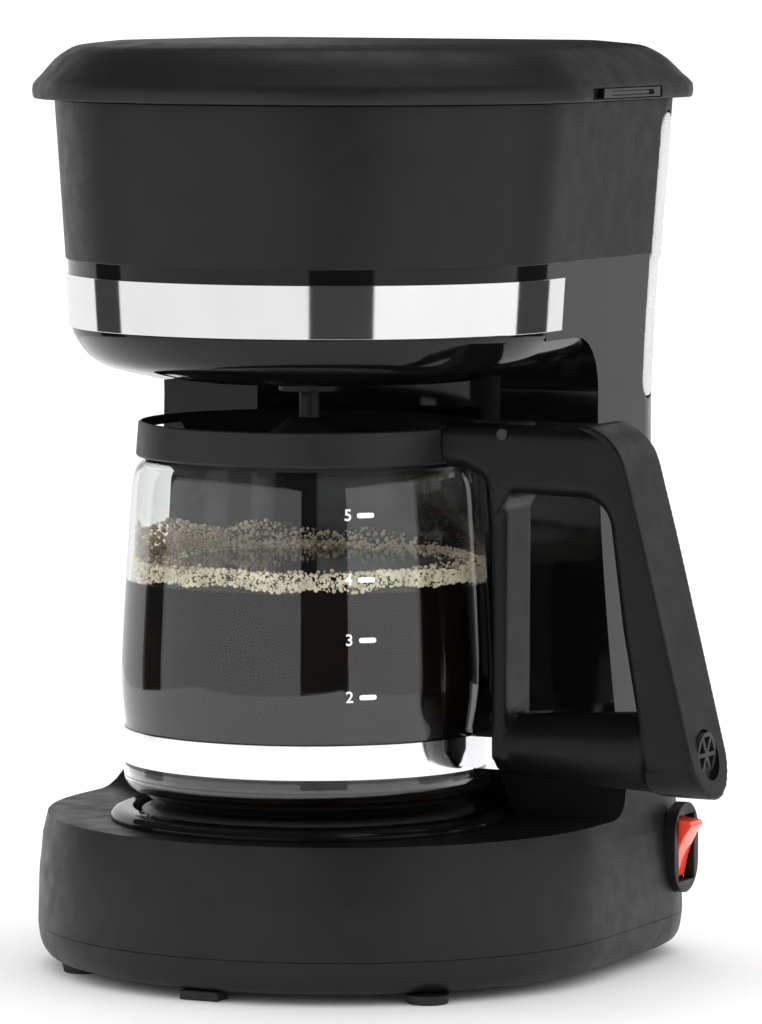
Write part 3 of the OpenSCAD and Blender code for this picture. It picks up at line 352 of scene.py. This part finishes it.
carafe = {
    "foot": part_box("carafe_glass")[0][2] / mm,
    "wall": 1.4,
    "level": 71.4,  # coffee above the foot
    "outside": [(42.8, 0), (46.2, 2.0), (48.6, 3.5), (51.6, 5.0), (53.4, 6.9), (54.1, 9.6), (53.9, 12.0),
                (53.7, 13.6), (53.7, 23), (54.4, 30), (54.8, 38),
                (54.4, 50), (53.4, 68), (52.1, 88), (51.4, 95), (50.1, 99), (47.5, 101.5), (47.1, 104)],
    "lip": {"from": 97, "over": 7, "reach": 13.4, "rise": 3.6, "half": 13},  # pouring lip, away from the handle
    "frothRim": 5.6,  # depth over which the coffee is drawn in behind the froth
}


def glassLevels():
    smoothRun = curveThrough(carafe["outside"], 4)
    return [(p[0], p[1] + carafe["foot"]) for p in smoothRun]


# radius of the inner face of the glass at a height
def insideRadius(z):
    levels = glassLevels()
    for (r1, z1), (r2, z2) in zip(levels, levels[1:]):
        if z1 <= z <= z2:
            return r1 + (r2 - r1) * (z - z1) / max(z2 - z1, 1e-6) - carafe["wall"]
    return levels[-1][0] - carafe["wall"]


def makeGlass():
    outside = glassLevels()
    inside = [(r - carafe["wall"], max(z, carafe["foot"] + carafe["wall"])) for r, z in reversed(outside)]
    rim = [(outside[-1][0] - 0.4, outside[-1][1] + 0.5), (outside[-1][0] - 1.8, outside[-1][1] + 0.5)]
    base = [(0.5, carafe["foot"] + 0.8), (30, carafe["foot"] + 0.6), (41.5, carafe["foot"])]
    bottom = [(38, carafe["foot"] + 2.4), (20, carafe["foot"] + 3.0), (0.5, carafe["foot"] + 3.2)]
    profile = base + outside + rim + inside + bottom
    piece = turned("carafeGlass", profile, 144)
    lip = carafe["lip"]
    rimZ = (carafe["foot"] + lip["from"]) * mm
    for v in piece.data.vertices:
        if v.co.z > rimZ and v.co.x < 0:
            side = max(0.0, 1 - abs(v.co.y) / (lip["half"] * mm))
            up = min(1.0, (v.co.z - rimZ) / (lip["over"] * mm))
            share = side * side * (3 - 2 * side) * up * up
            v.co.x -= lip["reach"] * mm * share
            v.co.z += lip["rise"] * mm * share * up
    return settle(piece, "carafe", "clearGlass", 60, ("carafe_glass",))


def makeCoffee():
    low = carafe["foot"] + 3.25
    top = carafe["foot"] + carafe["level"]
    profile = [(0.5, low), (20, low - 0.1), (38, low - 0.6)]
    profile += [(insideRadius(carafe["foot"] + h) + 0.04, carafe["foot"] + h) for h in range(3, 67, 3)]
    edge = insideRadius(top) - 0.5  # the surface is drawn in behind the froth
    rimLow = top - carafe["frothRim"]
    profile += [(insideRadius(rimLow) + 0.04, rimLow), (edge, top - 5.2), (edge, top), (20, top), (0.5, top)]
    piece = turned("coffeeFill", profile, 128)
    return settle(piece, "carafe", "coffee", 40)


froth = {"front": 7600, "climb": 2400, "raft": 900, "small": 0.17, "large": 0.85}


# angle, distance in from the glass and height over the surface of one bubble
def frothSpot(kind):
    if kind == "front":  # the thick collar of cells all round
        turn = random.uniform(0, 2 * math.pi)
        deep = 4.2 + 0.5 * math.sin(5 * turn + 0.6) + 0.5 * math.sin(13 * turn)
        return turn, 0.12 * random.random(), random.uniform(-deep, 0.7 + 0.5 * math.sin(7 * turn))
    if kind == "climb":  # cells left on the glass at the back and on the pouring side
        turn = math.radians(60 + 150 * random.random() ** 0.55)
        crest = 2.5 + 7.5 * (turn - 1) / 2.6 + 1.2 * math.sin(9 * turn)
        return turn, 0.3 * random.random(), crest * random.random() ** 1.35
    turn = random.uniform(0, 2 * math.pi)
    return turn, 1 + 13 * random.random() ** 1.8, 0.1


def makeFroth():
    top = (carafe["foot"] + carafe["level"]) * mm
    pickOnly()
    bpy.ops.mesh.primitive_ico_sphere_add(subdivisions=1, radius=1, location=(0, 0, 0))
    master = bpy.context.object
    shape = [v.co.copy() for v in master.data.vertices]
    faces = [tuple(f.vertices) for f in master.data.polygons]
    bpy.data.objects.remove(master)
    for kind in ("front", "climb", "raft"):
        points, polys = [], []
        for i in range(froth[kind]):
            turn, inward, lift = frothSpot(kind)
            size = froth["small"] + (froth["large"] - froth["small"]) * random.random() ** 3.2
            away = insideRadius((top / mm) + lift) - size - inward
            at = Vector((away * math.cos(turn), away * math.sin(turn), top / mm + lift)) * mm
            start = len(points)
            spin = random.uniform(0, 3)
            c, s = math.cos(spin), math.sin(spin)
            points += [at + size * mm * Vector((p.x * c - p.y * s, p.x * s + p.y * c, p.z)) for p in shape]
            polys += [tuple(start + k for k in f) for f in faces]
        mesh = bpy.data.meshes.new("froth" + kind.title())
        mesh.from_pydata(points, [], polys)
        piece = bpy.data.objects.new("froth" + kind.title(), mesh)
        bpy.context.scene.collection.objects.link(piece)
        settle(piece, "carafe", "froth", 180)


# lays a flat shape in the XY plane round the outside of the glass
def wrapOnGlass(piece, turn, height, proud):
    levels = glassLevels()
    for v in piece.data.vertices:
        z = height + v.co.y / mm
        r = next(r1 + (r2 - r1) * (z - z1) / max(z2 - z1, 1e-6)
                 for (r1, z1), (r2, z2) in zip(levels, levels[1:]) if z1 <= z <= z2)
        r += proud + v.co.z / mm
        a = turn + v.co.x / mm / r
        v.co = Vector((r * math.cos(a) * mm, r * math.sin(a) * mm, z * mm))


scale = {"numberAt": -51.6, "dashAt": -45.9, "heights": {"5": 138.2, "4": 119.9, "3": 102.7, "2": 86.4},
         "numberHigh": 4.6, "dash": (5.2, 1.5), "thick": 0.06}


def makeScale():
    for digit, height in scale["heights"].items():
        pickOnly()
        bpy.ops.object.text_add(location=(0, 0, 0))
        words = bpy.context.object
        words.data.body = digit
        words.data.size = scale["numberHigh"] * mm
        words.data.align_x = "CENTER"
        words.data.align_y = "CENTER"
        words.data.offset = 0.00006
        words.data.extrude = scale["thick"] * mm
        bpy.ops.object.convert(target="MESH")
        number = bpy.context.object
        number.name = "cupNumber" + digit
        wrapOnGlass(number, math.radians(scale["numberAt"]), height, 0.08)
        settle(number, "carafe", "printWhite", 30)
        pickOnly()
        bpy.ops.mesh.primitive_plane_add(size=1, location=(0, 0, 0))
        dash = bpy.context.object
        dash.name = "cupDash" + digit
        dash.scale = (scale["dash"][0] * mm, scale["dash"][1] * mm, 1)
        bpy.ops.object.transform_apply(location=True, rotation=True, scale=True)
        bpy.ops.object.mode_set(mode="EDIT")
        bpy.ops.mesh.select_all(action="SELECT")
        bpy.ops.mesh.bevel(offset=0.49 * scale["dash"][1] * mm, segments=6, affect="VERTICES")
        bpy.ops.mesh.select_all(action="SELECT")
        bpy.ops.mesh.extrude_region_move(TRANSFORM_OT_translate={"value": (0, 0, scale["thick"] * mm)})
        bpy.ops.object.mode_set(mode="OBJECT")
        wrapOnGlass(dash, math.radians(scale["dashAt"]), height, 0.06)
        settle(dash, "carafe", "printWhite", 30)


makeGlass()
makeCoffee()
makeFroth()
makeScale()
softCopy("carafe_band", "mirrorBand", 0.1)
softCopy("carafe_lid", "satinLid", 0.5)
print("carafe done")

grip = {
    # corners of the side outline: reach from the carafe's axis, height, corner radius
    "outline": [(40, 163.3, 0), (118, 163.3, 0), (142, 57.7, 0), (113, 58.4, 4), (110, 70, 20),
                (108.9, 81.6, 1), (104.4, 106, 60), (99.4, 143.2, 9), (69.5, 143.6, 3),
                (67.2, 139.5, 0), (62.7, 135, 0),
                (62.4, 147.2, 7.5), (54, 150.6, 4), (40, 151.2, 0)],
    # where the side face ends and the strap begins, from the top down
    "parting": [(86, 168), (91.5, 163.9), (96, 161.8), (99, 160), (102, 156.8), (104, 152.9), (106.6, 143.5),
                (110.2, 130.2), (117, 103.2), (123.4, 77.6), (127.4, 61.6), (131.4, 45.6)],
    "width": 26.4, "round": 4.2, "top": 163.9, "cell": 0.75,
    "strapCell": 0.5, "strapProud": 1.5, "strapDeep": 0.7,
    "barLow": (62.7, 8.6), "barHigh": (118, 12.2), "barZ": 70.5, "endZ": 71.0,
    "pin": 1.62, "slot": (81.4, 6.35, 156.6), "capHole": 7.2,
    "spine": {"x": (62.7, 67.2), "z": (66, 146), "half": 9.6, "edge": 1.2},
    "collar": {"radius": 50.7, "middle": 161, "high": 20},  # room for the rim of the carafe lid
    "ears": ((54.2, -2.2, 63), (63.4, 2.2, 72.2)),  # they run from the band into the handle
    "far": 200,  # past every end of the handle
}


# outline through the corners, each rounded to its own radius
def cornered(corners, steps=8):
    run = []
    for i, (x, z, radius) in enumerate(corners):
        here = Vector((x, z))
        if radius == 0 or i in (0, len(corners) - 1):
            run.append(here)
            continue
        before = Vector(corners[i - 1][:2]) - here
        after = Vector(corners[i + 1][:2]) - here
        half = before.angle(after) / 2
        back = min(radius / math.tan(half), before.length * 0.48, after.length * 0.48)
        radius = back * math.tan(half)
        centre = here + (before.normalized() + after.normalized()).normalized() * (radius / math.sin(half))
        start = here + before.normalized() * back - centre
        end = here + after.normalized() * back - centre
        sweep = start.angle_signed(end)
        for k in range(steps + 1):
            t = -sweep * k / steps
            run.append(centre + Vector((start.x * math.cos(t) - start.y * math.sin(t),
                                        start.x * math.sin(t) + start.y * math.cos(t))))
    return run


def cutWith(piece, cutter, mode="DIFFERENCE"):
    step = piece.modifiers.new("cut", "BOOLEAN")
    step.operation = mode
    step.solver = "EXACT"
    step.object = cutter
    applyAll(piece)
    bpy.data.objects.remove(cutter)


# outline filled and thickened to width along Y (or X), with its long edges rounded
def sidePlate(name, outline, width, rounding=0.0, axis="Y"):
    curve = bpy.data.curves.new(name, "CURVE")
    curve.dimensions = "2D"
    curve.fill_mode = "BOTH"
    curve.extrude = (width / 2 - rounding) * mm
    if rounding:
        curve.bevel_depth = rounding * mm
        curve.bevel_resolution = 5
        curve.offset = -rounding * mm
    line = curve.splines.new("POLY")
    line.points.add(len(outline) - 1)
    for point, at in zip(line.points, outline):
        point.co = (at[0] * mm, at[1] * mm, 0, 1)
    line.use_cyclic_u = True
    holder = bpy.data.objects.new(name, curve)
    bpy.context.scene.collection.objects.link(holder)
    pickOnly(holder)
    bpy.ops.object.convert(target="MESH")
    plate = bpy.context.object
    plate.rotation_euler = (math.radians(90), 0, math.radians(90) if axis == "X" else 0)
    bpy.ops.object.transform_apply(location=True, rotation=True, scale=True)
    bpy.ops.object.mode_set(mode="EDIT")
    bpy.ops.mesh.select_all(action="SELECT")
    bpy.ops.mesh.remove_doubles(threshold=1e-5)
    bpy.ops.mesh.normals_make_consistent(inside=False)
    bpy.ops.object.mode_set(mode="OBJECT")
    return plate


def boxBetween(low, high):
    pickOnly()
    bpy.ops.mesh.primitive_cube_add(size=1, location=[(a + b) / 2 * mm for a, b in zip(low, high)])
    block = bpy.context.object
    block.scale = [(b - a) * mm for a, b in zip(low, high)]
    bpy.ops.object.transform_apply(location=True, rotation=True, scale=True)
    return block


# round bar along X or Y, centred at a point
def barAlong(axis, at, radius, length, farRadius=None):
    pickOnly()
    turn = (0, math.radians(90), 0) if axis == "X" else (math.radians(90), 0, 0)
    bpy.ops.mesh.primitive_cone_add(vertices=64, radius1=radius * mm, radius2=(farRadius or radius) * mm,
                                    depth=length * mm, location=[c * mm for c in at], rotation=turn)
    bar = bpy.context.object
    bpy.ops.object.transform_apply(location=True, rotation=True, scale=True)
    return bar


# both ends of the grip seen along X: round below, straight above
def endSection():
    half = grip["width"] / 2
    ring = [(half * math.sin(math.radians(a)), grip["endZ"] - half * math.cos(math.radians(a)))
            for a in range(-90, 91, 4)]
    far = grip["far"]
    return sidePlate("endSection", ring + [(half, far), (-half, far)], 2 * far, axis="X")


def makeHandle():
    piece = sidePlate("handleBody", cornered(grip["outline"]), grip["width"], grip["round"])
    (x1, r1), (x2, r2) = grip["barLow"], grip["barHigh"]
    bar = barAlong("X", ((x1 + x2) / 2, 0, grip["barZ"]), r1, x2 - x1, r2)
    back = grip["spine"]
    spine = boxBetween((back["x"][0], -back["half"], back["z"][0]),
                       (back["x"][1], back["half"], back["z"][1]))
    step = spine.modifiers.new("edges", "BEVEL")
    step.width = back["edge"] * mm
    step.segments = 3
    applyAll(spine)
    pickOnly(piece)
    bar.select_set(True)
    spine.select_set(True)
    bpy.ops.object.join()
    soften(piece, grip["cell"], 7)
    parting = [tuple(p) for p in curveThrough(grip["parting"], 4)]
    cutWith(piece, sidePlate("inside", parting + [(20, 45), (20, 168)], 60), "INTERSECT")
    cutWith(piece, endSection(), "INTERSECT")
    nearGlass = [(r + 0.3, z) for r, z in glassLevels() if r > 40][:-6]
    cutWith(piece, turned("room", [(10, 40)] + nearGlass + [(49, 152), (10, 152)]))
    pickOnly()
    collar = grip["collar"]
    bpy.ops.mesh.primitive_cylinder_add(vertices=160, radius=collar["radius"] * mm, depth=collar["high"] * mm,
                                        location=(0, 0, collar["middle"] * mm))
    cutWith(piece, bpy.context.object)
    x, half, z = grip["slot"]
    cutWith(piece, boxBetween((30, -half, z), (x, half, z + 30)))
    settle(piece, "carafe", "satinHandle", 40, ("carafe_handle",))
    tab = boxBetween(*grip["ears"])
    tab.name = "bandEars"
    settle(tab, "carafe", "mirrorBand", 40)

    proud, deep = grip["strapProud"], grip["strapDeep"]
    inner, outer = [], []
    for i, (x, z) in enumerate(parting):
        ahead = Vector(parting[min(i + 1, len(parting) - 1)]) - Vector(parting[max(i - 1, 0)])
        out = Vector((-ahead.y, ahead.x)).normalized()
        if out.x < 0:
            out = -out
        inner.append((x - out.x * (deep - 0.1), z - out.y * (deep - 0.1)))
        outer.append((x + out.x * proud, z + out.y * proud))
    strap = sidePlate("gripStrap", inner + outer[::-1], grip["width"])
    cutWith(strap, boxBetween((60, -30, 30), (150, 30, grip["top"])), "INTERSECT")
    cutWith(strap, endSection(), "INTERSECT")
    soften(strap, grip["strapCell"], 5)
    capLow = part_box("screw_cap")[0]
    cutWith(strap, barAlong("X", (125, 0, capLow[2] / mm + 6.5), grip["capHole"], 40))
    settle(strap, "carafe", "satinHandle", 40, ("grip_cover",))


makeHandle()
softCopy("screw_cap", "innerBlack", 0.15)
print("handle done")

# rocker of the switch, drawn from the side round its pivot: (outwards, up)
rocker = {
    "face": [(4.4, -8.8), (4.9, -6.4), (5.6, -3.2), (6.8, 0.4), (8.6, 4.0), (10.5, 6.7)],
    "back": [(9.7, 8.0), (2.6, 8.9), (-4, 5.4), (-4, -5.4), (2.0, -8.6)],
    "width": 9.3, "round": 0.45, "outward": 1,
}


def makeRocker():
    low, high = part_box("switch_pivot")
    pivotX, pivotZ = (low[0] + high[0]) / 2 / mm + rocker["outward"], (low[2] + high[2]) / 2 / mm
    outline = [tuple(p) for p in curveThrough(rocker["face"], 4)] + rocker["back"]
    outline = [(x + pivotX, z + pivotZ) for x, z in outline]
    piece = sidePlate("rockerRed", outline, rocker["width"], rocker["round"])
    middleY = (low[1] + high[1]) / 2
    for v in piece.data.vertices:
        v.co.y += middleY
    settle(piece, "switch_rocker", "rockerRed", 40, ("switch_rocker",))


makeRocker()
print("switch done")

studio = {"floorSize": 1.3, "floorColour": (0.95, 0.95, 0.95)}


def makeFloor():
    pickOnly()
    bpy.ops.mesh.primitive_plane_add(size=studio["floorSize"], location=(0, 0, 0))
    floor = bpy.context.object
    floor.name = "floorSheet"
    paperLook = dict(colour=studio["floorColour"], rough=0.9, grain=200, bump=0.02, spread=0.01, patch=3)
    floor.data.materials.append(makeFinish("paper", paperLook))


def softBox(name, at, aim, size, power):
    light = bpy.data.lights.new(name, "AREA")
    light.shape = "RECTANGLE"
    light.size, light.size_y = size
    light.energy = power
    lamp = bpy.data.objects.new(name, light)
    bpy.context.scene.collection.objects.link(lamp)
    lamp.location = at
    lamp.visible_camera = False
    lamp.rotation_euler = (Vector(aim) - Vector(at)).to_track_quat("-Z", "Y").to_euler()


facing = 0.447  # the camera stands this far round to the right, in radians
middle = Vector((0, 0.02, 0.14))


# a point round the machine, counted to the right of the camera
def around(turnDeg, distance, height):
    a = facing + math.radians(turnDeg)
    return middle + Vector((math.sin(a) * distance, -math.cos(a) * distance, height))


makeFloor()
softBox("leftBox", around(-53, 1.6, 0.0), middle, (3.6, 1.5), 15)
softBox("rightBox", around(62, 1.6, 0.0), middle, (2.5, 1.5), 12)
softBox("backLeftBox", around(-150, 1.8, 0.15), middle, (2.0, 1.3), 7.5)
softBox("backRightBox", around(146, 1.8, 0.15), middle, (1.4, 1.3), 5)
softBox("topBox", middle + Vector((0, 0.5, 1.6)), middle, (1.2, 1.2), 5)

world = bpy.data.worlds.new("room")
bpy.context.scene.world = world
world.use_nodes = True
tree = world.node_tree
back = tree.nodes["Background"]
back.inputs["Color"].default_value = (1, 1, 1, 1)
path = tree.nodes.new("ShaderNodeLightPath")
bright = tree.nodes.new("ShaderNodeMapRange")  # a white room that shows only faintly in gloss
bright.inputs["To Min"].default_value = 1.15
bright.inputs["To Max"].default_value = 0.05
tree.links.new(path.outputs["Is Glossy Ray"], bright.inputs["Value"])
tree.links.new(bright.outputs["Result"], back.inputs["Strength"])
bpy.context.scene.view_settings.view_transform = "Standard"

camera = {"lens": 235.2, "distance": 1.946, "side": 0.02044, "height": 0.3008, "down": 4.87, "roll": -0.003}
sight = bpy.data.cameras.new("view")
sight.lens = camera["lens"]
sight.sensor_width = 36
sight.clip_end = 50
eye = bpy.data.objects.new("view", sight)
bpy.context.scene.collection.objects.link(eye)
rightWay = Vector((math.cos(facing), math.sin(facing), 0))
towardEye = Vector((math.sin(facing), -math.cos(facing), 0))
eye.location = rightWay * camera["side"] + towardEye * camera["distance"] + Vector((0, 0, camera["height"]))
eye.rotation_euler = (math.radians(90 - camera["down"]), camera["roll"], facing)
bpy.context.scene.camera = eye
print("studio ready")
